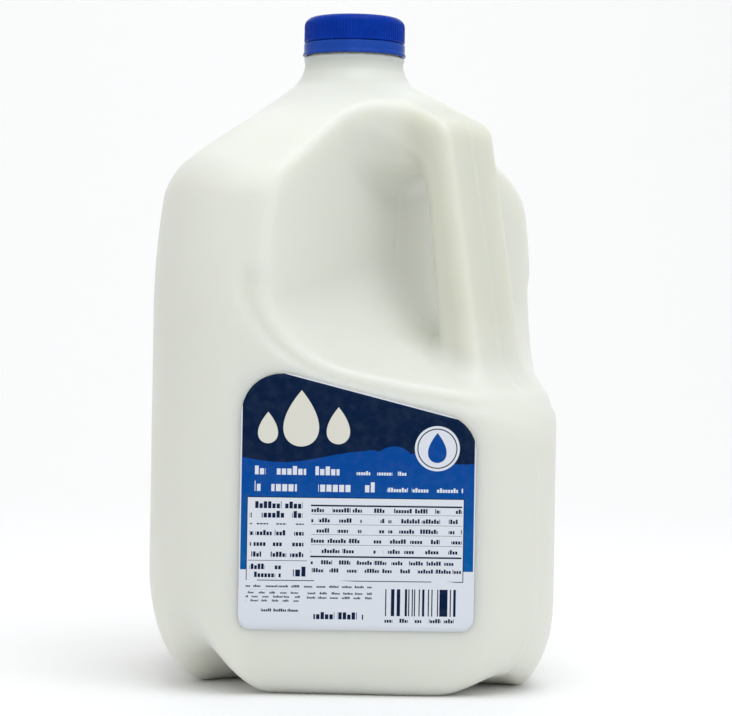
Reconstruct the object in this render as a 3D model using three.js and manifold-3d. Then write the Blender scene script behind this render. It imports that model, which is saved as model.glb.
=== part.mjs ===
// A one-gallon plastic milk jug, shut and full: a blow-moulded square bottle with its handle grown out of one
// corner, a ribbed screw cap, the tamper band under the cap and a flat film label.
// Millimetres, +Z up. The origin is on the floor under the neck's axis, the label faces -Y and the handle stands at
// the corner between +X and -Y. The mould's parting plane is the upright plane through that corner and the axis:
// u runs in it from the axis to the handle, v runs square to it, and the jug is alike on both sides of it.
import * as THREE from "three";
import { mergeVertices } from "three/addons/utils/BufferGeometryUtils.js";
import Module from "manifold-3d";

// Driving dimensions of the jug's body
const HALF_WIDTH = 75.8;
const CORNER_RADIUS = 31;
const TAPER_FROM = 140; // above this height the walls lean in
const TAPER = 0.0017; // lean in millimetres for each square millimetre of height
const SHOULDER = { radius: 27.6, height: 226, slope: 0.74, curve: 0.0012, round: 6, inner: 16 };
const SHOULDER_LENGTH_SHARE = 0.8; // turns the shoulder's height difference into a rough distance
const SHOULDER_SQUARE = { from: 30, to: 80, extra: 5 }; // round at the neck, square at the walls
const SPINE = { rise: 0.27, from: 22, soft: 6, half: 42 }; // ridge of the shoulder that runs out to the handle

// Recess behind the handle: a wall that spreads to both sides and a shelf that falls outwards
const WALL = { u: 23.5, spread: 5, near: 12, far: 70 };
const SHELF = { u: 56, height: 113.5, slope: 0.5, fillet: 20, rise: 14, riseHalf: 42 };
const EDGE = { lip: 6, rim: 14, rimFrom: 76, rimTo: 98, lowFrom: 140, lowTo: 175 };

// Handle: a top bar from the neck's root to a bend, and a leg from the bend into the lower body
const BAR_ROOT = { u: 10, z: 224 };
const BEND = { u: 51.5, z: 205.8 };
const LEG_END = { u: 71.5, z: 100 };
const GRIP = { half: 8.8, barHalf: 12.5, outer: 15.5, inner: 15, round: 4.5, innerRound: 12, soft: 6 };
const SWELL = { most: 4, from: 125, to: 200 }; // the leg thickens inwards towards its foot
const BEND_FILL = { most: 4.5, reach: 18 }; // rounds the inside of the bend
const GRIP_FILLET = { foot: 8, top: 22, from: 165, to: 200 };

// Base: two grooves along v, a notch at each end of the parting plane, a raised middle
const GROOVE = { high: 19, half: 22, from: 30, to: 90 };
const NOTCH = { high: 9, half: 26, from: 45, to: 90 };
const MIDDLE = { high: 6, from: 18, to: 44 };
const FOOT = { inset: 21, insetLean: -8, up: 42, upLean: -13, leanSpan: 60, leanMost: 1.2 };
const TUCK = { inset: 7, up: 8, from: 55, to: 90, half: 50 };
const SOLE_TRIM = 0.4; // what the flat cut takes off under the feet

// Neck, cap and band
const NECK = { radius: 19.2, flareRadius: 23.5, flareHeight: 229.2, wallFrom: 235.6, ledge: 241, inner: 17.9, top: 253.6 };
const CAP = { radius: 19.7, wall: 1.3, bottom: 246.3, top: 256.5, roof: 1.8, round: 2.6, ribs: 72, ribDepth: 0.4 };
const BAND = { radius: 19.8, flare: 20.2, wall: 1.2, bottom: 241.3, top: 246 };

// Label, on the flat of the front wall
const LABEL = { half: 42.8, bottom: 25, topLeft: 122.2, topSlope: 0.249, thick: 0.3, gap: 0.3 };
const LABEL_ROUND = { topLeft: 20, topRight: 10, bottom: 4.5 };
const QUARTER_TURN = 0.5523; // share of the radius at which a curve's handles give a quarter circle

// Fineness of the faceted surfaces
const NET_W = { ends: [-140, 20, 36, 68, 106], cells: [10.5, 8, 4.6, 7] }; // w is u less the lean of the leg
const NET_V = { ends: [-102, -48, -20, 20, 48, 102], cells: [7, 8, 5, 8, 7] };
const NET_Z = { ends: [-7, 98, 143, 165, 190, 242], cells: [10, 7, 5, 7, 6] };
const PULL_LIMIT = 2.5;
const RELAX_ROUNDS = 6;
const PULLS = 4;
const PROBE = 0.01; // half-width of the differences that give a surface's slope
const NECK_SIDES = 56;
const BAND_SIDES = 72;
const FILLET_STEPS = 5;

const COLOURS = { jug: 0xe4e5dc, cap: 0x0a3a9c, label: 0x0d4a94 };

const wasm = await Module();
wasm.setup();

// Larger of two distances, with the outer edge where they meet rounded.
function roundMax(a, b, radius) {
  return Math.min(Math.max(a, b), -radius) + Math.hypot(Math.max(a + radius, 0), Math.max(b + radius, 0));
}

// Smaller of two distances, with the inner corner where they meet filled by a fillet.
function roundMin(a, b, radius) {
  return -roundMax(-a, -b, radius);
}

const ramp = THREE.MathUtils.smoothstep;

// Hump that is 1 at 0 and falls smoothly to 0 at 1 and -1.
function hump(t) {
  return Math.max(1 - t * t, 0) ** 2;
}

// Distance in the parting plane from a point to a segment, and on which side of it the point lies: outer is positive.
function toSegment(u, z, from, to) {
  const du = to.u - from.u;
  const dz = to.z - from.z;
  const along = THREE.MathUtils.clamp(((u - from.u) * du + (z - from.z) * dz) / (du * du + dz * dz), 0, 1);
  const distance = Math.hypot(u - from.u - along * du, z - from.z - along * dz);
  return { distance, side: (z - from.z) * du - (u - from.u) * dz };
}

// Square plan with round corners that leans in above TAPER_FROM, standing on a base with elliptical foot edges.
function wallsAndBase(x, y, z, u, v) {
  const half = HALF_WIDTH - TAPER * Math.max(z - TAPER_FROM, 0) ** 2;
  const overX = Math.abs(x) - (half - CORNER_RADIUS);
  const overY = Math.abs(y) - (half - CORNER_RADIUS);
  const corner = Math.hypot(Math.max(overX, 0), Math.max(overY, 0));
  const plan = corner + Math.min(Math.max(overX, overY), 0) - CORNER_RADIUS;
  const groove = GROOVE.high * ramp(Math.abs(v), GROOVE.from, GROOVE.to) * hump(u / GROOVE.half);
  const notch = NOTCH.high * ramp(Math.abs(u), NOTCH.from, NOTCH.to) * hump(v / NOTCH.half);
  const middle = MIDDLE.high * (1 - ramp(Math.hypot(x, y), MIDDLE.from, MIDDLE.to));
  const lift = groove + notch + middle - SOLE_TRIM;
  const lean = THREE.MathUtils.clamp(u / FOOT.leanSpan, -FOOT.leanMost, FOOT.leanMost);
  const tuck = ramp(u, TUCK.from, TUCK.to) * hump(v / TUCK.half);
  const inset = FOOT.inset + FOOT.insetLean * lean + TUCK.inset * tuck;
  const up = FOOT.up + FOOT.upLean * lean + TUCK.up * tuck;
  const inward = Math.max(plan + inset, 0) / inset;
  const downward = Math.max(up - (z - lift), 0) / up;
  return (Math.hypot(inward, downward) - 1) * inset;
}

// Shoulder that falls from the neck to the walls, with a spine towards the handle.
function shoulder(x, y, z, u, v) {
  const reach = Math.hypot(x, y);
  const power = 2 + SHOULDER_SQUARE.extra * ramp(reach, SHOULDER_SQUARE.from, SHOULDER_SQUARE.to);
  const radius = (Math.abs(x) ** power + Math.abs(y) ** power) ** (1 / power);
  const out = Math.max(radius, SHOULDER.inner) - SHOULDER.radius;
  const past = u - SPINE.from;
  const spine = SPINE.rise * 0.5 * (past + Math.hypot(past, SPINE.soft)) * hump(v / SPINE.half);
  const top = SHOULDER.height + spine - SHOULDER.slope * out - SHOULDER.curve * Math.max(out, 0) ** 2;
  return (z - top) * SHOULDER_LENGTH_SHARE;
}

// What the recess leaves: all behind its wall and under its shelf, with a fillet between them.
function behindRecess(z, u, v) {
  const wall = WALL.u + WALL.spread * ramp(Math.abs(v), WALL.near, WALL.far);
  const rise = SHELF.rise * Math.exp(-((v / SHELF.riseHalf) ** 2));
  const shelf = SHELF.height - SHELF.slope * (u - SHELF.u) + rise;
  return roundMin(u - wall, z - shelf, SHELF.fillet);
}

// Handle of a flat-faced section, wider outside than inside, carried along the bar and the leg.
function handle(z, u, v) {
  const bar = toSegment(u, z, BAR_ROOT, BEND);
  const leg = toSegment(u, z, BEND, LEG_END);
  const distance = Math.min(bar.distance, leg.distance);
  const outward = bar.side > 0 || leg.side > 0 ? distance : -distance;
  const onBar = 1 - ramp(bar.distance - leg.distance, -GRIP.soft, GRIP.soft);
  const below = ramp(-outward, -GRIP.soft / 2, GRIP.soft / 2);
  const swell = SWELL.most * (1 - onBar) * (1 - ramp(z, SWELL.from, SWELL.to));
  const nearBend = Math.max(1 - Math.abs(bar.distance - leg.distance) / BEND_FILL.reach, 0);
  const fill = BEND_FILL.most * nearBend ** 2;
  const half = GRIP.half + ((GRIP.barHalf - GRIP.half) * onBar + swell + fill) * below;
  const share = THREE.MathUtils.clamp(0.5 + (0.5 * outward) / GRIP.half, 0, 1);
  const wide = GRIP.inner + (GRIP.outer - GRIP.inner) * share;
  const round = GRIP.innerRound + (GRIP.round - GRIP.innerRound) * share;
  return roundMax(distance - half, Math.abs(v) - wide, round);
}

// Rough distance to the jug's surface without its neck, negative inside.
function jugDistance(u, v, z) {
  const x = (u + v) * Math.SQRT1_2;
  const y = (v - u) * Math.SQRT1_2;
  const envelope = roundMax(wallsAndBase(x, y, z, u, v), shoulder(x, y, z, u, v), SHOULDER.round);
  const fillet = GRIP_FILLET.foot + (GRIP_FILLET.top - GRIP_FILLET.foot) * ramp(z, GRIP_FILLET.from, GRIP_FILLET.to);
  const kept = roundMin(behindRecess(z, u, v), handle(z, u, v), fillet);
  const rim = ramp(u, EDGE.rimFrom, EDGE.rimTo) * (1 - ramp(z, EDGE.lowFrom, EDGE.lowTo));
  return roundMax(envelope, kept, EDGE.lip + (EDGE.rim - EDGE.lip) * rim);
}

// Grid lines through the given ends, evenly spaced between each two of them at about the spacing given there.
function gridLines({ ends, cells }) {
  const lines = cells.flatMap((cell, k) => {
    const span = ends[k + 1] - ends[k];
    const count = Math.round(span / cell);
    return Array.from({ length: count }, (_, i) => ends[k] + (span * i) / count);
  });
  return [...lines, ends.at(-1)];
}

// Closed surface on which a distance is zero. Each grid cell that it passes through gets one vertex, at the middle of
// the crossings on the cell's edges, and each grid edge that it crosses gets the face between the four cells round it.
function surfaceNet(distanceAt, lines) {
  const size = lines.map((axis) => axis.length);
  const stride = [1, size[0], size[0] * size[1]];
  const step = (index, axis) => Math.floor(index / stride[axis]) % size[axis];
  const place = (index) => new THREE.Vector3(...lines.map((axis, k) => axis[step(index, k)]));
  const count = stride[2] * size[2];
  const values = Array.from({ length: count }, (_, index) => distanceAt(...place(index)));
  const corner = (index, bits) => index + (bits & 1) + ((bits >> 1) & 1) * stride[1] + (bits >> 2) * stride[2];
  const vertexOf = new Map();
  const vertices = [];
  const faces = [];
  for (let index = 0; corner(index, 7) < count; index += 1) {
    const middle = new THREE.Vector3();
    let crossings = 0;
    for (let bits = 0; bits < 8; bits += 1) {
      for (const bit of [1, 2, 4].filter((axisBit) => !(bits & axisBit))) {
        const near = corner(index, bits);
        const far = corner(index, bits | bit);
        if (values[near] > 0 !== values[far] > 0) {
          middle.add(place(near).lerp(place(far), values[near] / (values[near] - values[far])));
          crossings += 1;
        }
      }
    }
    if (crossings > 0) {
      vertexOf.set(index, vertices.length);
      vertices.push(middle.divideScalar(crossings));
    }
  }
  for (let index = 0; index < count; index += 1) {
    for (let axis = 0; axis < 3; axis += 1) {
      const next = index + stride[axis];
      if (next < count && values[index] > 0 !== values[next] > 0) {
        const second = stride[(axis + 1) % 3];
        const third = stride[(axis + 2) % 3];
        const around = [index, index - second, index - second - third, index - third];
        const face = around.map((cell) => vertexOf.get(cell));
        faces.push(values[index] > 0 ? face.reverse() : face);
      }
    }
  }
  return { vertices, faces };
}

// Moves a point along the slope of a distance on to its surface, by a limited step at a time.
function pullOn(point, distanceAt, limit) {
  const { x, y, z } = point;
  const value = distanceAt(x, y, z);
  const slope = new THREE.Vector3(
    distanceAt(x + PROBE, y, z) - distanceAt(x - PROBE, y, z),
    distanceAt(x, y + PROBE, z) - distanceAt(x, y - PROBE, z),
    distanceAt(x, y, z + PROBE) - distanceAt(x, y, z - PROBE),
  ).divideScalar(2 * PROBE);
  const move = THREE.MathUtils.clamp(value / Math.max(slope.lengthSq(), 0.05), -limit, limit);
  point.addScaledVector(slope, -move);
}

// Evens out a net's faces: each vertex goes half way to the mean of its neighbours, then back on to the surface.
function relax(net, distanceAt) {
  const sums = net.vertices.map(() => new THREE.Vector3());
  const counts = net.vertices.map(() => 0);
  for (const face of net.faces) {
    face.forEach((vertex, k) => {
      sums[vertex].add(net.vertices[face[(k + 1) % 4]]).add(net.vertices[face[(k + 3) % 4]]);
      counts[vertex] += 2;
    });
  }
  net.vertices.forEach((vertex, i) => {
    vertex.lerp(sums[i].divideScalar(counts[i]), 0.5);
    for (let pull = 0; pull < PULLS; pull += 1) pullOn(vertex, distanceAt, PULL_LIMIT);
  });
}

// Each four-sided face is split along its shorter diagonal.
function triangles(net) {
  const length = (a, b) => net.vertices[a].distanceTo(net.vertices[b]);
  return net.faces.flatMap(([a, b, c, d]) => (length(a, c) < length(b, d) ? [a, b, c, a, c, d] : [a, b, d, b, c, d]));
}

// Body and handle, as a net over the jug's distance. Its grid leans with the leg, so that the leg's edges come out
// straight, and is then set upright and turned into place.
function bodyGeometry() {
  const lean = (LEG_END.u - BEND.u) / (BEND.z - LEG_END.z);
  const leaning = (w, v, z) => jugDistance(w + lean * (BEND.z - z), v, z);
  const net = surfaceNet(leaning, [NET_W, NET_V, NET_Z].map(gridLines));
  for (let round = 0; round < RELAX_ROUNDS; round += 1) relax(net, leaning);
  const geometry = new THREE.BufferGeometry().setFromPoints(net.vertices);
  geometry.setIndex(triangles(net));
  const u = new THREE.Vector3(Math.SQRT1_2, -Math.SQRT1_2, 0);
  const v = new THREE.Vector3(Math.SQRT1_2, Math.SQRT1_2, 0);
  const up = new THREE.Vector3(0, 0, 1).addScaledVector(u, -lean);
  const place = new THREE.Matrix4().makeBasis(u, v, up).setPosition(u.clone().multiplyScalar(lean * BEND.z));
  return geometry.applyMatrix4(place);
}

// Neck: a flare off the shoulder, the wall under the band's ledge and the plain mouth inside the cap.
function neckGeometry() {
  const root = NECK.flareHeight - SHOULDER.round;
  const profile = [new THREE.Vector2(0, root), new THREE.Vector2(NECK.flareRadius, root)];
  const control = new THREE.Vector2(NECK.radius, NECK.flareHeight + SHOULDER.slope * (NECK.flareRadius - NECK.radius));
  const flare = new THREE.QuadraticBezierCurve(
    new THREE.Vector2(NECK.flareRadius, NECK.flareHeight),
    control,
    new THREE.Vector2(NECK.radius, NECK.wallFrom),
  );
  profile.push(...flare.getPoints(FILLET_STEPS));
  profile.push(new THREE.Vector2(NECK.radius, NECK.ledge), new THREE.Vector2(NECK.inner, NECK.ledge));
  profile.push(new THREE.Vector2(NECK.inner, NECK.top), new THREE.Vector2(0, NECK.top));
  return uprightLathe(profile, NECK_SIDES);
}

// Lathe about +Z of a profile given as radius and height.
function uprightLathe(profile, sides) {
  return new THREE.LatheGeometry(profile, sides).rotateX(Math.PI / 2);
}

// Cap: a cup over the mouth, with upright ribs round its wall and a rounded top edge.
function capGeometry() {
  const inner = CAP.radius - CAP.wall;
  const ribTop = CAP.top - CAP.round;
  const edge = new THREE.EllipseCurve(CAP.radius - CAP.round, ribTop, CAP.round, CAP.round, 0, Math.PI / 2);
  const profile = [
    new THREE.Vector2(0, CAP.top - CAP.roof),
    new THREE.Vector2(inner, CAP.top - CAP.roof),
    new THREE.Vector2(inner, CAP.bottom),
    new THREE.Vector2(CAP.radius, CAP.bottom),
    ...edge.getPoints(3),
    new THREE.Vector2(0, CAP.top),
  ];
  const lathe = uprightLathe(profile, 2 * CAP.ribs);
  const position = lathe.getAttribute("position");
  const pitch = Math.PI / CAP.ribs;
  for (let i = 0; i < position.count; i += 1) {
    const x = position.getX(i);
    const y = position.getY(i);
    const onWall = Math.hypot(x, y) > inner + CAP.wall / 2 && position.getZ(i) < ribTop + 0.01;
    const between = Math.round(Math.atan2(y, x) / pitch) % 2 !== 0;
    const scale = onWall && between ? 1 - CAP.ribDepth / CAP.radius : 1;
    position.setXY(i, x * scale, y * scale);
  }
  return lathe;
}

// Tamper band: a plain ring that flares a little at its lower edge.
function bandGeometry() {
  const inner = BAND.radius - BAND.wall;
  const flareTop = BAND.bottom + 0.3 * (BAND.top - BAND.bottom);
  const profile = [
    new THREE.Vector2(inner, BAND.bottom),
    new THREE.Vector2(BAND.flare, BAND.bottom),
    new THREE.Vector2(BAND.flare, (BAND.bottom + flareTop) / 2),
    new THREE.Vector2(BAND.radius, flareTop),
    new THREE.Vector2(BAND.radius, BAND.top),
    new THREE.Vector2(inner, BAND.top),
    new THREE.Vector2(inner, BAND.bottom),
  ];
  return uprightLathe(profile, BAND_SIDES);
}

// Label outline: upright sides, a flat foot and a top edge that falls to the right, all corners round.
function labelGeometry() {
  const left = -LABEL.half;
  const right = LABEL.half;
  const onTop = (x) => [x, LABEL.topLeft - LABEL.topSlope * (x - left)];
  const under = (x, drop) => [x, onTop(x)[1] - drop];
  const { topLeft, topRight } = LABEL_ROUND;
  const handle = 1 - QUARTER_TURN;
  const shape = new THREE.Shape();
  shape.moveTo(left + LABEL_ROUND.bottom, LABEL.bottom);
  shape.lineTo(right - LABEL_ROUND.bottom, LABEL.bottom);
  shape.quadraticCurveTo(right, LABEL.bottom, right, LABEL.bottom + LABEL_ROUND.bottom);
  shape.lineTo(...under(right, topRight));
  shape.bezierCurveTo(...under(right, topRight * handle), ...onTop(right - topRight * handle), ...onTop(right - topRight));
  shape.lineTo(...onTop(left + topLeft));
  shape.bezierCurveTo(...onTop(left + topLeft * handle), ...under(left, topLeft * handle), ...under(left, topLeft));
  shape.lineTo(left, LABEL.bottom + LABEL_ROUND.bottom);
  shape.quadraticCurveTo(left, LABEL.bottom, left + LABEL_ROUND.bottom, LABEL.bottom);
  const sheet = new THREE.ExtrudeGeometry(shape, { depth: LABEL.thick, bevelEnabled: false, curveSegments: 8 });
  return sheet.rotateX(Math.PI / 2).translate(0, -HALF_WIDTH - LABEL.gap, 0);
}

// Geometry with its shared vertices merged, as a solid that can be joined and cut.
function solidOf(geometry) {
  const merged = mergeVertices(geometry.clone().deleteAttribute("normal").deleteAttribute("uv"), 1e-3);
  const vertProperties = new Float32Array(merged.getAttribute("position").array);
  const triVerts = new Uint32Array(merged.index.array);
  return new wasm.Manifold(new wasm.Mesh({ numProp: 3, vertProperties, triVerts }));
}

function geometryOf(solid) {
  const mesh = solid.getMesh();
  const geometry = new THREE.BufferGeometry();
  geometry.setAttribute("position", new THREE.BufferAttribute(mesh.vertProperties, 3));
  geometry.setIndex(new THREE.BufferAttribute(mesh.triVerts, 1));
  geometry.computeVertexNormals();
  return geometry;
}

// One blow-moulded piece: body and handle, with the neck on top and the feet cut flat.
function jugGeometry() {
  const under = new THREE.BoxGeometry(4 * HALF_WIDTH, 4 * HALF_WIDTH, HALF_WIDTH).translate(0, 0, -HALF_WIDTH / 2);
  return geometryOf(solidOf(bodyGeometry()).add(solidOf(neckGeometry())).subtract(solidOf(under)));
}

function piece(name, geometry, color, roughness) {
  const mesh = new THREE.Mesh(geometry, new THREE.MeshStandardMaterial({ color, roughness, metalness: 0 }));
  mesh.name = name;
  return mesh;
}

const jug = new THREE.Group();
jug.add(piece("jug", jugGeometry(), COLOURS.jug, 0.42));
jug.add(piece("cap", capGeometry(), COLOURS.cap, 0.35));
jug.add(piece("tamper_band", bandGeometry(), COLOURS.cap, 0.3));
jug.add(piece("label", labelGeometry(), COLOURS.label, 0.4));

export default jug;
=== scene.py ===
import math

import bmesh
import bpy
import numpy as np
from bpy.props import FloatProperty, FloatVectorProperty, IntProperty, PointerProperty
from mathutils import Matrix, Vector


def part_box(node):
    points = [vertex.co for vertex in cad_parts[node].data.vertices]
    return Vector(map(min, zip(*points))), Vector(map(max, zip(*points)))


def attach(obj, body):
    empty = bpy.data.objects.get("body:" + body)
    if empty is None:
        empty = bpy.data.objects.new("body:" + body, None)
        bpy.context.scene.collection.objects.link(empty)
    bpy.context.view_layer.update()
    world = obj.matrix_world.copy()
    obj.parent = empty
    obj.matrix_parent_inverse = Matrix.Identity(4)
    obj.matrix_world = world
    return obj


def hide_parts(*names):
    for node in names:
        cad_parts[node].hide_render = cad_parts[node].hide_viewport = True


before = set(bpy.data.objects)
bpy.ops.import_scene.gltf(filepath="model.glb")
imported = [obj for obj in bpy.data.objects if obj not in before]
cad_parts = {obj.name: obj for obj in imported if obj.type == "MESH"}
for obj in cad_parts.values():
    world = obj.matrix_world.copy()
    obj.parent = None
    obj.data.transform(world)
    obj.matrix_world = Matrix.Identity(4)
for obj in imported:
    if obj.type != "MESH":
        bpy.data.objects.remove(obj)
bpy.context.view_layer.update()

bl_info = {
    "name": "Milk jug",
    "version": (1, 0, 0),
    "blender": (4, 5, 0),
    "location": "3D View > Sidebar > Milk jug",
    "description": "Dresses a one-gallon plastic milk jug: bottle, cap, tamper band and printed label",
    "category": "Object",
}

MM = 0.001
WELD = 1e-4 * MM
ROOT2 = math.sqrt(2.0)
WHITE = (1.0, 1.0, 1.0)
JUG_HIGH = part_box("jug")[1]
CAP_LOW, CAP_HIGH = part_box("cap")
BAND_LOW, BAND_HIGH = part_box("tamper_band")
LABEL_LOW, LABEL_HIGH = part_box("label")

# The bottle's form in millimetres. u runs from the neck's axis to the handle's corner, v square to it, z up.
CORNER_RADIUS = 31.0
TAPER_FROM, TAPER = 140.0, 0.0017
SHOULDER_RADIUS, SHOULDER_HEIGHT, SHOULDER_ROUND = 27.6, 226.0, 6.0
SHOULDER_SLOPE, SHOULDER_CURVE, SHOULDER_SHARE, SHOULDER_INNER = 0.74, 0.0012, 0.8, 16.0
SQUARE_FROM, SQUARE_TO, SQUARE_EXTRA = 30.0, 80.0, 5.0
SPINE_RISE, SPINE_FROM, SPINE_SOFT, SPINE_HALF = 0.27, 22.0, 6.0, 42.0
WALL_U, WALL_SPREAD, WALL_NEAR, WALL_FAR = 23.5, 5.0, 12.0, 70.0
BORDER_DEEP, BORDER_SOFT, BORDER_LOW, BORDER_HIGH = 1.5, 3.2, 150.0, 160.0
BORDER_SHELF, BORDER_WALL, BORDER_FROM, BORDER_TO = 4.6, 6.2, 84.0, 96.0
SHELF_U, SHELF_HEIGHT, SHELF_SLOPE, SHELF_FILLET = 56.0, 113.5, 0.5, 20.0
SHELF_RISE, SHELF_RISE_HALF = 14.0, 42.0
LIP_ROUND, RIM_ROUND, RIM_FROM, RIM_TO, RIM_LOW, RIM_HIGH = 2.2, 14.0, 76.0, 98.0, 140.0, 175.0
BAR_ROOT, BEND, LEG_END = (10.0, 224.0), (51.5, 205.8), (71.5, 100.0)
BAR_HALF, GRIP_OUTER, GRIP_INNER = 12.5, 15.5, 15.0
GRIP_ROUND, GRIP_ROUND_INNER, GRIP_SOFT = 4.5, 12.0, 6.0
BEND_FILL, BEND_REACH = 4.5, 18.0
LEG_SWELL, SWELL_LOW, SWELL_HIGH = 4.0, 125.0, 200.0
FOOT_FILLET, TOP_FILLET, FILLET_LOW, FILLET_HIGH = 8.0, 22.0, 165.0, 200.0
GROOVE_HIGH, GROOVE_HALF, GROOVE_FROM, GROOVE_TO = 19.0, 22.0, 30.0, 90.0
NOTCH_HIGH, NOTCH_HALF, NOTCH_FROM, NOTCH_TO = 9.0, 26.0, 45.0, 90.0
MIDDLE_HIGH, MIDDLE_FROM, MIDDLE_TO, SOLE_TRIM = 6.0, 18.0, 44.0, 0.4
FOOT_INSET, FOOT_INSET_LEAN, FOOT_UP, FOOT_UP_LEAN = 21.0, -8.0, 42.0, -13.0
LEAN_SPAN, LEAN_MOST = 60.0, 1.2
TUCK_INSET, TUCK_UP, TUCK_FROM, TUCK_TO, TUCK_HALF = 7.0, 8.0, 55.0, 90.0, 50.0
NECK_RADIUS, NECK_FILLET, NECK_FOOT, NECK_LEDGE, NECK_ROUND = 19.2, 5.0, 222.0, 241.0, 0.8
BEAD_HIGH, BEAD_AT, BEAD_HALF, FINISH_RADIUS, FINISH_TOP = 0.5, 239.9, 0.9, 17.4, 253.0
SEAM_HIGH, SEAM_HALF = 0.35, 0.7

# The bottle's net: ends of stretches of grid lines, and the cell size in each. w is u without the leg's lean.
NET_W = ((-140.0, 14.0, 106.0), (2.5, 1.6))
NET_V = ((-102.0, -24.0, -1.2, -0.4, 0.4, 1.2, 24.0, 102.0), (2.3, 1.55, 0.8, 0.8, 0.8, 1.55, 2.3))
NET_Z = ((-5.0, 96.0, 236.0, 242.0, 257.0), (2.3, 1.6, 0.6, 1.6))
RELAX_ROUNDS, PULLS, PULL_LIMIT, PROBE, SLOPE_LEAST = 3, 3, 0.6, 0.02, 0.05

# Cap and band in millimetres.
CAP_WALL, CAP_ROOF, CAP_ROUND, CAP_ROUND_POINTS, CAP_BEVEL, CAP_STEP = 1.3, 1.8, 3.6, 9, 0.45, 0.6
CAP_RIM, CAP_DISH, DISH_EDGE = 5.0, 0.35, 1.0
RIB_POINTS, RIB_SHARP, RIB_FOOT, RIB_TOP, RIB_SKIN = 8, 1.5, (0.5, 1.1), (0.2, 0.9), 0.1
BAND_WALL, BAND_FLARE, BAND_GAP, BAND_STEP, BAND_LEAN, BAND_BEVEL = 1.2, 0.4, 0.2, 0.7, 0.3, 0.25
BAND_EDGE, BAND_BELLY, BAND_RISE, BRIDGE_SOFT = 0.3, (0.1, 0.9), 1.6, 0.1
BRIDGES, BRIDGE_POINTS, BRIDGE_FROM, BRIDGE_TO = 12, 32, 0.96, 0.99

# Label's outline and print in millimetres from the neck's axis and the floor. Words have an area as left,
# right, bottom and top, then the pitch and the height of their lines, the length of a word and a seed.
LABEL_COLUMNS, LABEL_ROWS, LABEL_TOP, LABEL_SLOPE, LABEL_ROUNDS = 90, 40, 122.2, 0.249, (20.0, 10.0, 4.5)
HALVINGS, SEARCH_OUT, SEARCH_IN = 34, 2.0, 12.0
PRINT_SOFT, BARE_EDGE, FIELD_FOOT, FOOT_LIGHTER = 0.06, 0.5, 46.8, (1.0, 1.6, 1.15)
WAVE_AT, WAVE_HIGH, WAVE_RATE, WAVE_PHASE = 88.0, 2.2, 0.095, 1.1
HILLS = ((4.5, 82.0, 8.5), (13.0, 84.0, 8.0), (21.0, 80.0, 9.5))
DROPS = ((-21.0, 91.5, 20.5, 17.0), (-7.5, 92.5, 13.5, 11.2), (-33.0, 92.5, 11.5, 9.6))
ROUNDEL, ROUNDEL_RING, ROUNDEL_INSIDE = (28.6, 91.4, 8.2), 0.9, 1.3
ROUNDEL_DROP_UNDER, ROUNDEL_DROP_SIZE = 5.2, (11.0, 9.0)
TITLE_WORDS = (
    (-37.5, -6.0, 81.2, 84.4, 5.0, 3.2, 14.0, 2.0), (-37.5, 6.0, 75.2, 78.9, 5.0, 3.7, 17.0, 5.0),
    (-2.0, 17.5, 81.4, 82.9, 3.0, 1.5, 7.5, 9.0), (9.0, 38.2, 75.4, 77.0, 4.0, 1.6, 9.0, 4.0),
)
PANEL, PANEL_FRAME = (-40.2, 38.8, 42.8, 73.2), 0.3
PANEL_RULE_PITCH, PANEL_RULE, RULE_UNDER = 3.7, 0.13, 0.8
PANEL_RULES = ((-17.0, 38.0, 69.9, 70.5), (-17.0, 38.0, 51.4, 52.0), (-39.6, -18.2, 50.0, 50.2))
PANEL_COLUMNS = ((-16.8, 1.5), (5.8, 9.8), (11.2, 30.0), (33.2, 38.0))
PANEL_WORDS = (
    (-39.2, -20.0, 65.6, 72.0, 3.4, 2.5, 11.0, 3.0), (-39.2, -19.5, 51.4, 63.6, 3.9, 1.9, 7.0, 7.0),
    (-39.2, -27.5, 44.0, 49.4, 2.9, 2.0, 9.0, 13.0), (-25.8, -18.6, 44.4, 48.4, 6.0, 3.6, 7.2, 17.0),
    (-16.8, 38.0, 46.0, 51.0, 2.9, 1.5, 6.4, 41.0),
)
TABLE_FOOT, TABLE_TOP, TABLE_WORDS = 53.0, 69.6, (1.6, 7.5, 19.0)
FOOT_WORDS = (
    (-40.2, 5.6, 40.4, 41.6, 2.0, 0.9, 4.6, 3.0), (-40.2, -20.5, 35.2, 39.6, 1.45, 0.8, 3.9, 5.0),
    (-18.0, 5.6, 36.4, 39.4, 1.6, 0.85, 4.3, 8.0), (-34.5, -21.0, 31.6, 33.6, 2.2, 1.1, 5.2, 12.0),
    (-15.5, 2.6, 29.0, 32.2, 4.0, 2.6, 9.0, 15.0), (9.5, 36.6, 28.0, 29.6, 3.0, 1.5, 5.4, 21.0),
)
PANEL_ZONE, TITLE_ZONE = 42.4, 74.2
BARS, BAR_MODULE, BAR_SHARE = (9.4, 36.2, 30.4, 40.2), 0.42, 0.5
LETTER_SHARE, LETTER_FILL, LETTER_LOW, TALL_SHARE = 0.62, 0.78, 0.7, 0.68
WORD_LEAST, WORD_VARY, ROW_START = 0.48, 0.45, 0.5

# Finishes: lengths in millimetres, and shares. The next line's values bound in u, z and v the darker,
# yellower plastic of the handle, for its thin column of milk, which also covers the slot's floor and the
# bar's underside beside the handle, where it is painted shade.
SLIM_SHADE_FROM, SLIM_SHADE_TO, SLIM_SHADE_LOW, SLIM_SHADE_HIGH, SLIM_SHADE_EDGE, SLIM_SHADE_HALF = 34.0, 48.0, 112.0, 145.0, 23.0, 17.0
MILK_SOFT, COLLAR_SOFT, COLLAR_SHARE, MOTTLE_DARK = 1.2, 0.4, 0.22, 0.86
FLOW_LIGHTER, FLOW_LIFT, ROUGH_LESS, ROUGH_MORE = 1.35, 0.002, 0.05, 0.07
SLOW_DETAIL, PEEL_DETAIL = 2.0, 3.0

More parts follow.
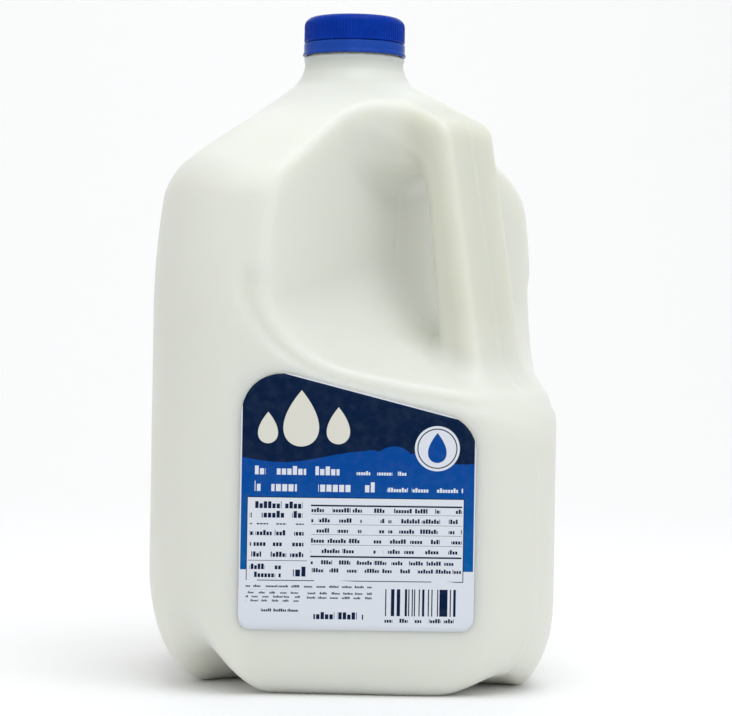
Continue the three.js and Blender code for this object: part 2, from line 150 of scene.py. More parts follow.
# Sockets of a Mix node for colours, and kinds of a group's sockets that aren't plain numbers.
MIX_SHARE, MIX_UNDER, MIX_OVER, MIX_RESULT = 0, 6, 7, 2
COLOUR_SOCKETS = ("Film", "Navy", "Blue", "Foot blue", "Colour")
SOCKET_KINDS = {"Position": "NodeSocketVector", **dict.fromkeys(COLOUR_SOCKETS, "NodeSocketColor")}


# Sizes and colours to change

class MilkJugBottle(bpy.types.PropertyGroup):
    """Sizes and colours of the bottle."""

    half_width: FloatProperty(
        name="Half width", description="Half the width across the flat walls",
        default=JUG_HIGH[0], unit="LENGTH")
    grip_half: FloatProperty(
        name="Grip half thickness", description="Half the handle's thickness in the parting plane",
        default=8.8 * MM, unit="LENGTH")
    plastic: FloatVectorProperty(
        name="Plastic", description="Colour of the milky plastic with milk behind it",
        default=(0.755, 0.765, 0.70), size=3, subtype="COLOR")
    empty: FloatVectorProperty(
        name="Empty neck", description="Colour of the plastic above the milk",
        default=(0.685, 0.705, 0.635), size=3, subtype="COLOR")
    # Darker, yellower plastic: on the handle for its thin column of milk, and on the slot's floor and the
    # bar's underside beside it as painted shade.
    slim: FloatVectorProperty(
        name="Handle", description="Colour of the plastic where only a slim column of milk is behind it",
        default=(0.67, 0.68, 0.59), size=3, subtype="COLOR")
    milk_level: FloatProperty(
        name="Milk level", description="Height above which the neck has no milk behind it",
        default=234.8 * MM, unit="LENGTH")
    collar: FloatProperty(
        name="Collar", description="Height of the moulded line round the foot of the neck",
        default=229.8 * MM, unit="LENGTH")


class MilkJugCap(bpy.types.PropertyGroup):
    """Sizes and colours of the cap and its band."""

    ribs: IntProperty(name="Ribs", description="Number of upright ribs round the cap", default=96)
    rib_depth: FloatProperty(
        name="Rib depth", description="How deep the grooves between the ribs are",
        default=0.3 * MM, unit="LENGTH")
    blue: FloatVectorProperty(
        name="Blue", description="Colour of the cap's plastic",
        default=(0.0002, 0.029, 0.295), size=3, subtype="COLOR")
    band_blue: FloatVectorProperty(
        name="Band blue", description="Colour of the band's plastic",
        default=(0.012, 0.057, 0.33), size=3, subtype="COLOR")


class MilkJugLabel(bpy.types.PropertyGroup):
    """Sizes and inks of the label."""

    lift: FloatProperty(
        name="Lift", description="How far the label's face stands off the wall",
        default=0.24 * MM, unit="LENGTH")
    thick: FloatProperty(
        name="Thickness", description="Thickness of the film", default=0.2 * MM, unit="LENGTH")
    navy: FloatVectorProperty(
        name="Navy", description="Ink of the upper field",
        default=(0.0008, 0.0115, 0.045), size=3, subtype="COLOR")
    blue: FloatVectorProperty(
        name="Blue", description="Ink of the middle field",
        default=(0.0005, 0.060, 0.30), size=3, subtype="COLOR")
    film: FloatVectorProperty(
        name="Film", description="Unprinted film", default=(0.70, 0.73, 0.79), size=3, subtype="COLOR")
    cream: FloatVectorProperty(
        name="Cream", description="Ink of the drops", default=(0.70, 0.69, 0.61), size=3, subtype="COLOR")


class MilkJugStage(bpy.types.PropertyGroup):
    """Floor and light."""

    floor: FloatVectorProperty(
        name="Floor", description="Colour of the floor and backdrop",
        default=(0.975, 0.975, 0.975), size=3, subtype="COLOR")
    top_power: FloatProperty(
        name="Top light", description="Power of the light overhead", default=5.6, unit="POWER")
    top_tint: FloatVectorProperty(
        name="Top tint", description="Colour of the light overhead",
        default=(0.90, 0.95, 1.0), size=3, subtype="COLOR")
    key_power: FloatProperty(
        name="Key light", description="Power of the light in front at the right", default=0.5, unit="POWER")
    back_power: FloatProperty(
        name="Backdrop light", description="Power of the light on the backdrop", default=5.2, unit="POWER")
    surround: FloatProperty(
        name="Surround", description="Strength of the light from all sides", default=0.68)


# Shapes

def round_max(a, b, radius):
    """Larger of two distances, with the outer edge where they meet rounded."""
    inside = np.minimum(np.maximum(a, b), -radius)
    return inside + np.hypot(np.maximum(a + radius, 0), np.maximum(b + radius, 0))


def round_min(a, b, radius):
    """Smaller of two distances, with the inner corner where they meet filled by a fillet."""
    return -round_max(-a, -b, radius)


def ramp(x, low, high):
    """Smooth step from 0 at low to 1 at high."""
    t = np.clip((x - low) / (high - low), 0, 1)
    return t * t * (3 - 2 * t)


def hump(t):
    """Hump that is 1 at 0 and falls smoothly to 0 at 1 and -1."""
    return np.clip(1 - t * t, 0, 1) ** 2


def to_segment(u, z, start, end):
    """Distance in the parting plane to a segment, and the side of it: outer is positive."""
    du, dz = end[0] - start[0], end[1] - start[1]
    along = np.clip(((u - start[0]) * du + (z - start[1]) * dz) / (du * du + dz * dz), 0, 1)
    distance = np.hypot(u - start[0] - along * du, z - start[1] - along * dz)
    return distance, (z - start[1]) * du - (u - start[0]) * dz


def walls_and_base(x, y, z, u, v, half_width):
    """Square plan with round corners that leans in above TAPER_FROM, on a base with elliptical foot edges."""
    half = half_width - TAPER * np.maximum(z - TAPER_FROM, 0) ** 2
    over_x = np.abs(x) - (half - CORNER_RADIUS)
    over_y = np.abs(y) - (half - CORNER_RADIUS)
    corner = np.hypot(np.maximum(over_x, 0), np.maximum(over_y, 0))
    plan = corner + np.minimum(np.maximum(over_x, over_y), 0) - CORNER_RADIUS
    lift = GROOVE_HIGH * ramp(np.abs(v), GROOVE_FROM, GROOVE_TO) * hump(u / GROOVE_HALF)
    lift = lift + NOTCH_HIGH * ramp(np.abs(u), NOTCH_FROM, NOTCH_TO) * hump(v / NOTCH_HALF)
    lift = lift + MIDDLE_HIGH * (1 - ramp(np.hypot(x, y), MIDDLE_FROM, MIDDLE_TO)) - SOLE_TRIM
    lean = np.clip(u / LEAN_SPAN, -LEAN_MOST, LEAN_MOST)
    tuck = ramp(u, TUCK_FROM, TUCK_TO) * hump(v / TUCK_HALF)
    inset = FOOT_INSET + FOOT_INSET_LEAN * lean + TUCK_INSET * tuck
    up = FOOT_UP + FOOT_UP_LEAN * lean + TUCK_UP * tuck
    inward = np.maximum(plan + inset, 0) / inset
    downward = np.maximum(up - (z - lift), 0) / up
    return (np.hypot(inward, downward) - 1) * inset


def shoulder(x, y, z, u, v):
    """Under a top that falls from the neck by a slope and a square of the distance out, and rises in a spine.

    The distance out is round at the neck and square at the walls.
    """
    reach = np.hypot(x, y)
    power = 2 + SQUARE_EXTRA * ramp(reach, SQUARE_FROM, SQUARE_TO)
    radius = (np.abs(x) ** power + np.abs(y) ** power) ** (1 / power)
    out = np.maximum(radius, SHOULDER_INNER) - SHOULDER_RADIUS
    past = u - SPINE_FROM
    spine = SPINE_RISE * 0.5 * (past + np.hypot(past, SPINE_SOFT)) * hump(v / SPINE_HALF)
    top = SHOULDER_HEIGHT + spine - SHOULDER_SLOPE * out - SHOULDER_CURVE * np.maximum(out, 0) ** 2
    return (z - top) * SHOULDER_SHARE


def behind_recess(z, u, v):
    """What the recess leaves: all behind its wall and under its shelf, with a fillet between them."""
    wall = WALL_U + WALL_SPREAD * ramp(np.abs(v), WALL_NEAR, WALL_FAR)
    shelf = SHELF_HEIGHT - SHELF_SLOPE * (u - SHELF_U) + SHELF_RISE * np.exp(-((v / SHELF_RISE_HALF) ** 2))
    return round_min(u - wall, z - shelf, SHELF_FILLET)


def border(recess, z, u):
    """How deep the walls are sunk along the recess: near its edge, up to a height, and not at the handle."""
    wide = BORDER_SHELF + (BORDER_WALL - BORDER_SHELF) * ramp(z, SHELF_HEIGHT, SHELF_HEIGHT + SHELF_FILLET)
    near = ramp(recess, -wide - BORDER_SOFT / 2, -wide + BORDER_SOFT / 2)
    return BORDER_DEEP * near * (1 - ramp(z, BORDER_LOW, BORDER_HIGH)) * (1 - ramp(u, BORDER_FROM, BORDER_TO))


def handle(z, u, v, grip_half):
    """Section with flat faces, wider outside than inside, carried along the bar and the leg."""
    bar, bar_side = to_segment(u, z, BAR_ROOT, BEND)
    leg, leg_side = to_segment(u, z, BEND, LEG_END)
    distance = np.minimum(bar, leg)
    outward = np.where((bar_side > 0) | (leg_side > 0), distance, -distance)
    on_bar = 1 - ramp(bar - leg, -GRIP_SOFT, GRIP_SOFT)
    below = ramp(-outward, -GRIP_SOFT / 2, GRIP_SOFT / 2)
    swell = LEG_SWELL * (1 - on_bar) * (1 - ramp(z, SWELL_LOW, SWELL_HIGH))
    half = grip_half + ((BAR_HALF - grip_half) * on_bar + swell) * below
    near_bend = np.maximum(1 - np.abs(bar - leg) / BEND_REACH, 0)
    half = half + BEND_FILL * near_bend ** 2 * below
    share = np.clip(0.5 + 0.5 * outward / grip_half, 0, 1)
    wide = GRIP_INNER + (GRIP_OUTER - GRIP_INNER) * share
    round_off = GRIP_ROUND_INNER + (GRIP_ROUND - GRIP_ROUND_INNER) * share
    return round_max(distance - half, np.abs(v) - wide, round_off)


def bottle_distance(u, v, z, half_width, grip_half):
    """Rough distance to the bottle's surface, less than 0 inside it.

    Walls and shoulder are cut by the recess, fillets join the handle and the neck, and the seam is added.
    """
    x = (u + v) / ROOT2
    y = (v - u) / ROOT2
    recess = behind_recess(z, u, v)
    walls = walls_and_base(x, y, z, u, v, half_width) + border(recess, z, u)
    envelope = round_max(walls, shoulder(x, y, z, u, v), SHOULDER_ROUND)
    fillet = FOOT_FILLET + (TOP_FILLET - FOOT_FILLET) * ramp(z, FILLET_LOW, FILLET_HIGH)
    kept = round_min(recess, handle(z, u, v, grip_half), fillet)
    rim = ramp(u, RIM_FROM, RIM_TO) * (1 - ramp(z, RIM_LOW, RIM_HIGH))
    body = round_max(envelope, kept, LIP_ROUND + (RIM_ROUND - LIP_ROUND) * rim)
    reach = np.hypot(x, y)
    bead = BEAD_HIGH * np.exp(-(((z - BEAD_AT) / BEAD_HALF) ** 2))
    neck = round_max(np.maximum(reach - NECK_RADIUS - bead, NECK_FOOT - z), z - NECK_LEDGE, NECK_ROUND)
    finish = np.maximum(np.maximum(reach - FINISH_RADIUS, NECK_FOOT - z), z - FINISH_TOP)
    whole = np.minimum(round_min(body, neck, NECK_FILLET), finish)
    return whole - SEAM_HIGH * np.exp(-((v / SEAM_HALF) ** 2)) * (1 - ramp(z, NECK_FOOT, NECK_LEDGE))


def grid_lines(ends, cells):
    """Lines through the given ends, evenly spaced between each two of them at about the cell size."""
    stretches = [
        np.linspace(start, end, max(round((end - start) / cell), 1), endpoint=False)
        for start, end, cell in zip(ends, ends[1:], cells)
    ]
    return np.concatenate([*stretches, [ends[-1]]])


def surface_net(distance_at, lines):
    """Closed surface on which a distance is zero, as vertices and four-sided faces.

    Each grid cell that the surface passes through gets one vertex, at the mean of the crossings on its edges.
    Each grid edge that it crosses gets the face between the four cells round it, turned to point outwards.
    """
    points = np.stack(np.meshgrid(*lines, indexing="ij"))
    values = distance_at(*points)
    outside = values > 0
    cells = tuple(n - 1 for n in values.shape)
    total = np.zeros((3, *cells))
    crossings = np.zeros(cells)
    edges = []
    for axis in range(3):
        near = tuple(slice(0, -1) if k == axis else slice(None) for k in range(3))
        far = tuple(slice(1, None) if k == axis else slice(None) for k in range(3))
        crossed = outside[near] != outside[far]
        gap = np.where(crossed, values[near] - values[far], 1.0)
        share = np.where(crossed, values[near] / gap, 0.0)
        where = points[(slice(None), *near)] * (1 - share) + points[(slice(None), *far)] * share
        where = where * crossed
        others = [k for k in range(3) if k != axis]
        for first in (slice(0, -1), slice(1, None)):
            for second in (slice(0, -1), slice(1, None)):
                part = [slice(None)] * 3
                part[others[0]] = first
                part[others[1]] = second
                total += where[(slice(None), *part)]
                crossings += crossed[tuple(part)]
        edges.append(np.argwhere(crossed))
    used = crossings > 0
    number = np.full(cells, -1)
    number[used] = np.arange(used.sum())
    vertices = (total[:, used] / crossings[used]).T
    faces = []
    for axis, edge in enumerate(edges):
        second = np.eye(3, dtype=int)[(axis + 1) % 3]
        third = np.eye(3, dtype=int)[(axis + 2) % 3]
        around = (edge, edge - second, edge - second - third, edge - third)
        face = np.stack([number[tuple(cell.T)] for cell in around], axis=1)
        turned = outside[tuple(edge.T)]
        face[turned] = face[turned, ::-1]
        faces.append(face)
    return vertices, np.concatenate(faces)


def slope_of(distance_at, points):
    """Slope of a distance at points, from differences over PROBE to both sides."""
    steps = np.eye(3) * PROBE
    sides = [distance_at(*(points + step).T) - distance_at(*(points - step).T) for step in steps]
    return np.stack(sides, axis=1) / (2 * PROBE)


def pull_on(distance_at, points):
    """Points moved along the slope of a distance on to its surface, by a limited step."""
    slope = slope_of(distance_at, points)
    move = distance_at(*points.T) / np.maximum((slope ** 2).sum(1), SLOPE_LEAST)
    return points - slope * np.clip(move, -PULL_LIMIT, PULL_LIMIT)[:, None]


def relax(distance_at, vertices, faces):
    """Each vertex goes half way to the mean of its neighbours, then back on to the surface."""
    count = np.zeros(len(vertices))
    total = np.zeros_like(vertices)
    before, after = 1, 3
    for turn in (before, after):
        neighbour = np.roll(faces, turn, axis=1).ravel()
        count += np.bincount(faces.ravel(), minlength=len(vertices))
        for axis in range(3):
            total[:, axis] += np.bincount(faces.ravel(), vertices[neighbour, axis], minlength=len(vertices))
    vertices = 0.5 * (vertices + total / count[:, None])
    for _ in range(PULLS):
        vertices = pull_on(distance_at, vertices)
    return vertices


def lathe(radius, height, angles, loop):
    """Closed surface of a profile carried round +Z, with x = r cos a and y = r sin a at each angle a.

    The profile runs with its inside to the left. It is a loop, or else starts and ends on the axis.
    """
    radius, height, turn = np.broadcast_arrays(radius, height, angles[:, None])
    ring = np.stack([radius * np.cos(turn), radius * np.sin(turn), height], axis=-1)
    index = np.arange(turn.size).reshape(turn.shape)
    after = np.roll(index, -1, axis=0)
    faces = np.stack([index, after, np.roll(after, -1, axis=1), np.roll(index, -1, axis=1)], axis=-1)
    if not loop:
        faces = faces[:, :-1]
    return ring.reshape(-1, 3), faces.reshape(-1, 4)


def sheet_faces(columns, rows):
    """Four-sided faces between the points of a grid, by the points' numbers."""
    index = np.arange(columns * rows).reshape(columns, rows)
    corners = (index[:-1, :-1], index[1:, :-1], index[1:, 1:], index[:-1, 1:])
    return np.stack(corners, axis=-1).reshape(-1, 4)


def dense(points, step):
    """Profile through the given points, with points added so that none are further apart than the step."""
    parts = [
        np.linspace(start, end, max(math.ceil(math.dist(start, end) / step), 1), endpoint=False)
        for start, end in zip(points, points[1:])
    ]
    return np.concatenate([*parts, [points[-1]]])


def arc(centre, radius, start, end, count):
    """Points of an arc in the profile's plane, from one angle to another in degrees."""
    turn = np.radians(np.linspace(start, end, count))
    return [(centre[0] + radius * math.cos(t), centre[1] + radius * math.sin(t)) for t in turn]


def weld(piece):
    """Joins vertices that lie on one another, as at the ends of a profile on the axis."""
    work = bmesh.new()
    work.from_mesh(piece.data)
    bmesh.ops.remove_doubles(work, verts=work.verts, dist=WELD)
    work.to_mesh(piece.data)
    work.free()


def cap_surface(ribs, rib_depth):
    """Cap in millimetres: a cup with a dished roof, its skirt set in by a rounded wave between the ribs."""
    radius, low, high = CAP_HIGH[0] / MM, CAP_LOW[2] / MM, CAP_HIGH[2] / MM
    inner, dish = radius - CAP_WALL, high - CAP_DISH
    outline = [(0.0, high - CAP_ROOF), (inner, high - CAP_ROOF), (inner, low), (radius - CAP_BEVEL, low)]
    outline += [(radius, low + CAP_BEVEL)]
    outline += arc((radius - CAP_ROUND, high - CAP_ROUND), CAP_ROUND, 0, 90, CAP_ROUND_POINTS)
    outline += [(radius - CAP_RIM, high), (radius - CAP_RIM - DISH_EDGE, dish), (0.0, dish)]
    r, z = dense(outline, CAP_STEP).T
    angles = np.linspace(0, 2 * math.pi, ribs * RIB_POINTS, endpoint=False)
    over_foot = ramp(z, low + RIB_FOOT[0], low + RIB_FOOT[1])
    under_top = 1 - ramp(z, high - CAP_ROUND - RIB_TOP[0], high - RIB_TOP[1])
    window = over_foot * under_top * (r > inner + RIB_SKIN)
    wave = (0.5 - 0.5 * np.cos(angles * ribs)) ** RIB_SHARP
    return lathe(r - rib_depth * window * wave[:, None], z, angles, False)


def band_surface():
    """Band in millimetres: a ring that flares at its foot, with bridges where its top rises to the cap."""
    radius, low, high = BAND_HIGH[0] / MM, BAND_LOW[2] / MM, CAP_LOW[2] / MM
    top = high - BAND_GAP
    inner, upper = radius - BAND_WALL - BAND_FLARE, radius - BAND_FLARE
    outline = [(inner + BAND_LEAN, low), (radius - BAND_BEVEL, low), (radius, low + BAND_EDGE)]
    outline += [(radius - BAND_BELLY[0], low + BAND_BELLY[1]), (upper, low + BAND_RISE)]
    outline += [(upper, top - BAND_BEVEL), (upper - BAND_BEVEL, top), (inner, top), outline[0]]
    r, z = dense(outline, BAND_STEP)[:-1].T
    angles = np.linspace(0, 2 * math.pi, BRIDGES * BRIDGE_POINTS, endpoint=False)
    bridge = ramp(np.cos(angles * BRIDGES), BRIDGE_FROM, BRIDGE_TO)
    return lathe(r, z + (BAND_GAP * ramp(z, top - BRIDGE_SOFT, top)) * bridge[:, None], angles, True)


def label_surface(half_width, grip_half, lift):
    """Label's face in millimetres on a grid: columns in x, each from the lower to the upper edge.

    The upper edge is a slope, and each edge turns off by a quarter ellipse at the corners. The wall's y is
    found by halving, and the face stands off it by the lift.
    """
    half, low = LABEL_HIGH[0] / MM, LABEL_LOW[2] / MM
    column = half * np.sin(np.linspace(-math.pi / 2, math.pi / 2, LABEL_COLUMNS))

    def turn_off(gap, round_off):
        return round_off - np.sqrt(np.maximum(round_off ** 2 - np.maximum(round_off - gap, 0) ** 2, 0))

    upper = LABEL_TOP - LABEL_SLOPE * (column + half)
    upper = upper - turn_off(column + half, LABEL_ROUNDS[0]) - turn_off(half - column, LABEL_ROUNDS[1])
    lower = low + turn_off(column + half, LABEL_ROUNDS[2]) + turn_off(half - column, LABEL_ROUNDS[2])
    share = np.linspace(0, 1, LABEL_ROWS)
    x = np.repeat(column[:, None], LABEL_ROWS, axis=1)
    z = lower[:, None] * (1 - share) + upper[:, None] * share
    outer = np.full_like(x, -half_width - SEARCH_OUT)
    inner = np.full_like(x, -half_width + SEARCH_IN)
    for _ in range(HALVINGS):
        middle = (outer + inner) / 2
        inside = bottle_distance((x - middle) / ROOT2, (x + middle) / ROOT2, z, half_width, grip_half) < 0
        inner = np.where(inside, middle, inner)
        outer = np.where(inside, outer, middle)
    return np.stack([x, outer - lift, z], axis=-1).reshape(-1, 3), sheet_faces(LABEL_COLUMNS, LABEL_ROWS)


def new_piece(name, vertices, faces):
    """Mesh object at the origin from arrays of vertices in metres and four-sided faces."""
    mesh = bpy.data.meshes.new(name)
    mesh.vertices.add(len(vertices))
    mesh.vertices.foreach_set("co", np.asarray(vertices, np.float32).ravel())
    mesh.loops.add(faces.size)
    mesh.loops.foreach_set("vertex_index", faces.astype(np.int32).ravel())
    mesh.polygons.add(len(faces))
    mesh.polygons.foreach_set("loop_start", np.arange(0, faces.size, faces.shape[1], dtype=np.int32))
    mesh.polygons.foreach_set("use_smooth", np.full(len(faces), True))
    mesh.update(calc_edges=True)
    mesh.validate()
    piece = bpy.data.objects.new(name, mesh)
    bpy.context.scene.collection.objects.link(piece)
    return piece


# Materials

class Nodes:
    """Short ways to add nodes to a node tree. A value may be a number, a tuple or another node's socket."""

    def __init__(self, tree):
        self.tree = tree

    def link(self, value, socket):
        """Gives a socket its value, by a link where the value is a socket too."""
        if isinstance(value, bpy.types.NodeSocket):
            self.tree.links.new(value, socket)
        else:
            socket.default_value = value

    def node(self, kind, inputs=None, **settings):
        """New node with its settings, and with its inputs by name or number."""
        made = self.tree.nodes.new(kind)
        for name, value in settings.items():
            setattr(made, name, value)
        for key, value in (inputs or {}).items():
            self.link(value, made.inputs[key])
        return made

    def math(self, operation, *values):
        """Result of an operation on numbers."""
        return self.node("ShaderNodeMath", dict(enumerate(values)), operation=operation).outputs[0]

    def minus(self, value, less):
        """Number less another number."""
        return self.math("SUBTRACT", value, less)

    def times(self, value, factor):
        """Product of two numbers."""
        return self.math("MULTIPLY", value, factor)

    def between(self, value, low, high, start=0.0, end=1.0):
        """Smooth step from start, where the value is low, to end, where it is high."""
        names = ("Value", "From Min", "From Max", "To Min", "To Max")
        inputs = dict(zip(names, (value, low, high, start, end)))
        return self.node("ShaderNodeMapRange", inputs, interpolation_type="SMOOTHSTEP").outputs[0]

    def mix(self, share, under, over):
        """Colour that is under at share 0 and over at share 1."""
        inputs = {MIX_SHARE: share, MIX_UNDER: under, MIX_OVER: over}
        return self.node("ShaderNodeMix", inputs, data_type="RGBA").outputs[MIX_RESULT]

    def noise(self, vector, scale, detail):
        """Noise from about 0 to 1."""
        inputs = {"Vector": vector, "Scale": scale, "Detail": detail}
        return self.node("ShaderNodeTexNoise", inputs).outputs["Fac"]

    def place(self, maker, *values):
        """Output of the node group that a function makes, with values in the order of its inputs."""
        made = self.node("ShaderNodeGroup", node_tree=shared_group(maker))
        for value, socket in zip(values, made.inputs, strict=True):
            self.link(value, socket)
        return made.outputs[0]

    def mottle(self, place, scale, detail, start, end, low=0.3, high=0.7):
        """Noise as a value from start to end, which it reaches at the low and the high noise."""
        return self.place(mottle, place, scale, detail, low, high, start, end)


def colour(values):
    """Colour of three numbers with full alpha."""
    return (*values, 1.0)


def new_material(name):
    """Material with a Principled BSDF, as the material, its nodes, the BSDF and the place on the object."""
    material = bpy.data.materials.new(name)
    material.use_nodes = True
    tree = material.node_tree
    nodes = Nodes(tree)
    return material, nodes, tree.nodes["Principled BSDF"], nodes.node("ShaderNodeTexCoord").outputs["Object"]


def new_group(name, inputs, output):
    """Empty shader node group, as its nodes, the sockets of its inputs in order, and its output."""
    tree = bpy.data.node_groups.new(name, "ShaderNodeTree")
    for label in inputs:
        kind = SOCKET_KINDS.get(label, "NodeSocketFloat")
        tree.interface.new_socket(label, in_out="INPUT", socket_type=kind)
    kind = SOCKET_KINDS.get(output, "NodeSocketFloat")
    tree.interface.new_socket(output, in_out="OUTPUT", socket_type=kind)
    start = tree.nodes.new("NodeGroupInput")
    end = tree.nodes.new("NodeGroupOutput")
    return Nodes(tree), [start.outputs[label] for label in inputs], end.inputs[output]


def mottle(name):
    """Group: noise as a value from start to end, which it reaches at the low and the high noise."""
    inputs = ("Position", "Scale", "Detail", "Low", "High", "Start", "End")
    nodes, given, out = new_group(name, inputs, "Value")
    place, scale, detail, *steps = given
    nodes.link(nodes.between(nodes.noise(place, scale, detail), *steps), out)


def moulded_relief(name):
    """Group: height of a moulded skin, a slow waviness and a fine orange peel."""
    inputs = ("Position", "Wave size", "Peel size", "Peel share")
    nodes, given, out = new_group(name, inputs, "Height")
    place, wave_size, peel_size, peel_share = given
    wave = nodes.noise(place, nodes.math("DIVIDE", 1.0, wave_size), SLOW_DETAIL)
    peel = nodes.noise(place, nodes.math("DIVIDE", 1.0, peel_size), PEEL_DETAIL)
    nodes.link(nodes.math("MULTIPLY_ADD", peel, peel_share, wave), out)


def print_box(name):
    """Group: 1 inside a box with the given edges, by the least of the four distances to them."""
    nodes, given, out = new_group(name, ("X", "Z", "Left", "Right", "Bottom", "Top"), "Mask")
    x, z, left, right, bottom, top = given
    across = nodes.math("MINIMUM", nodes.minus(x, left), nodes.minus(right, x))
    upright = nodes.math("MINIMUM", nodes.minus(z, bottom), nodes.minus(top, z))
    nodes.link(nodes.between(nodes.math("MINIMUM", across, upright), -PRINT_SOFT, PRINT_SOFT), out)


def print_disc(name):
    """Group: 1 inside a disc, by the radius less the distance to its centre."""
    nodes, given, out = new_group(name, ("X", "Z", "Centre x", "Centre z", "Radius"), "Mask")
    x, z, centre_x, centre_z, radius = given
    aside = nodes.minus(x, centre_x)
    up = nodes.minus(z, centre_z)
    away = nodes.math("SQRT", nodes.math("ADD", nodes.times(aside, aside), nodes.times(up, up)))
    nodes.link(nodes.between(nodes.minus(radius, away), -PRINT_SOFT, PRINT_SOFT), out)


def print_drop(name):
    """Group: 1 inside a drop, whose half width at share q of its height is the width times q^0.5 (1 - q)."""
    nodes, given, out = new_group(name, ("X", "Z", "Centre", "Bottom", "Height", "Width"), "Mask")
    x, z, centre, bottom, height, width = given
    share = nodes.math("DIVIDE", nodes.minus(z, bottom), height)
    held = nodes.math("MINIMUM", nodes.math("MAXIMUM", share, 0.0), 1.0)
    curve = nodes.times(nodes.math("SQRT", held), nodes.minus(1.0, held))
    away = nodes.math("ABSOLUTE", nodes.minus(x, centre))
    inside = nodes.minus(nodes.times(curve, width), away)
    nodes.link(nodes.between(inside, 0.0, 2 * PRINT_SOFT), out)


def print_words(name):
    """Group: rows of small blocks that stand for words, with lengths, gaps and heights drawn by chance."""
    nodes, given, out = new_group(name, ("X", "Z", "Pitch", "Height", "Word", "Seed"), "Mask")
    x, z, pitch, height, word, seed = given
    rows = nodes.math("DIVIDE", z, pitch)
    row = nodes.math("ADD", nodes.math("FLOOR", rows), seed)
    upright = nodes.math("DIVIDE", nodes.times(nodes.math("FRACT", rows), pitch), height)

    def chance(across):
        place = nodes.node("ShaderNodeCombineXYZ", {0: across, 1: row, 2: seed}).outputs[0]
        drawn = nodes.node("ShaderNodeTexWhiteNoise", {"Vector": place}, noise_dimensions="3D")
        return drawn.outputs["Value"]

    words = nodes.math("ADD", nodes.math("DIVIDE", x, word), chance(ROW_START))
    length = nodes.math("MULTIPLY_ADD", chance(nodes.math("FLOOR", words)), WORD_VARY, WORD_LEAST)
    in_word = nodes.math("LESS_THAN", nodes.math("FRACT", words), length)
    letters = nodes.math("DIVIDE", x, nodes.times(height, LETTER_SHARE))
    in_letter = nodes.math("LESS_THAN", nodes.math("FRACT", letters), LETTER_FILL)
    tall = nodes.math("GREATER_THAN", chance(nodes.math("FLOOR", letters)), TALL_SHARE)
    in_row = nodes.math("LESS_THAN", upright, nodes.math("MULTIPLY_ADD", tall, 1 - LETTER_LOW, LETTER_LOW))
    nodes.link(nodes.times(nodes.times(in_row, in_word), in_letter), out)


def print_fields(name):
    """Group: navy above a wave, blue under it, inside a bare edge, with hills of blue where they meet."""
    nodes, given, out = new_group(name, ("X", "Z", "Film", "Navy", "Blue", "Foot blue"), "Colour")
    x, z, film, navy, blue, foot_blue = given
    half = LABEL_HIGH[0] / MM
    edge = nodes.math("MULTIPLY_ADD", nodes.math("ADD", x, half), -LABEL_SLOPE, LABEL_TOP - BARE_EDGE)
    under_edge = nodes.between(nodes.minus(edge, z), -PRINT_SOFT, PRINT_SOFT)
    inside = nodes.place(print_box, x, z, BARE_EDGE - half, half - BARE_EDGE, FIELD_FOOT, LABEL_TOP)
    field = nodes.times(inside, under_edge)
    swing = nodes.math("SINE", nodes.math("MULTIPLY_ADD", x, WAVE_RATE, WAVE_PHASE))
    wave = nodes.math("MULTIPLY_ADD", swing, WAVE_HIGH, WAVE_AT)
    hills = nodes.between(nodes.minus(wave, z), -PRINT_SOFT, PRINT_SOFT)
    for hill in HILLS:
        hills = nodes.math("MAXIMUM", hills, nodes.place(print_disc, x, z, *hill))
    lower = nodes.mix(nodes.between(z, FIELD_FOOT, WAVE_AT), foot_blue, blue)
    nodes.link(nodes.mix(nodes.times(hills, field), nodes.mix(field, film, navy), lower), out)


def shared_group(maker):
    """Node group that a function makes, named after it and made when it is first asked for."""
    name = maker.__name__.replace("_", " ").capitalize()
    if name not in bpy.data.node_groups:
        maker(name)
    return bpy.data.node_groups[name]


def dress(nodes, bsdf, place, tint, rough, wave, peel, peel_share, depth, strength):
    """Gives a shader its colour, its roughness and the bump of a moulded skin."""
    skin = nodes.place(moulded_relief, place, wave, peel, peel_share)
    bump = nodes.node("ShaderNodeBump", {"Strength": strength, "Distance": depth, "Height": skin})
    for name, value in (("Base Color", tint), ("Roughness", rough), ("Normal", bump.outputs[0])):
        nodes.link(value, bsdf.inputs[name])


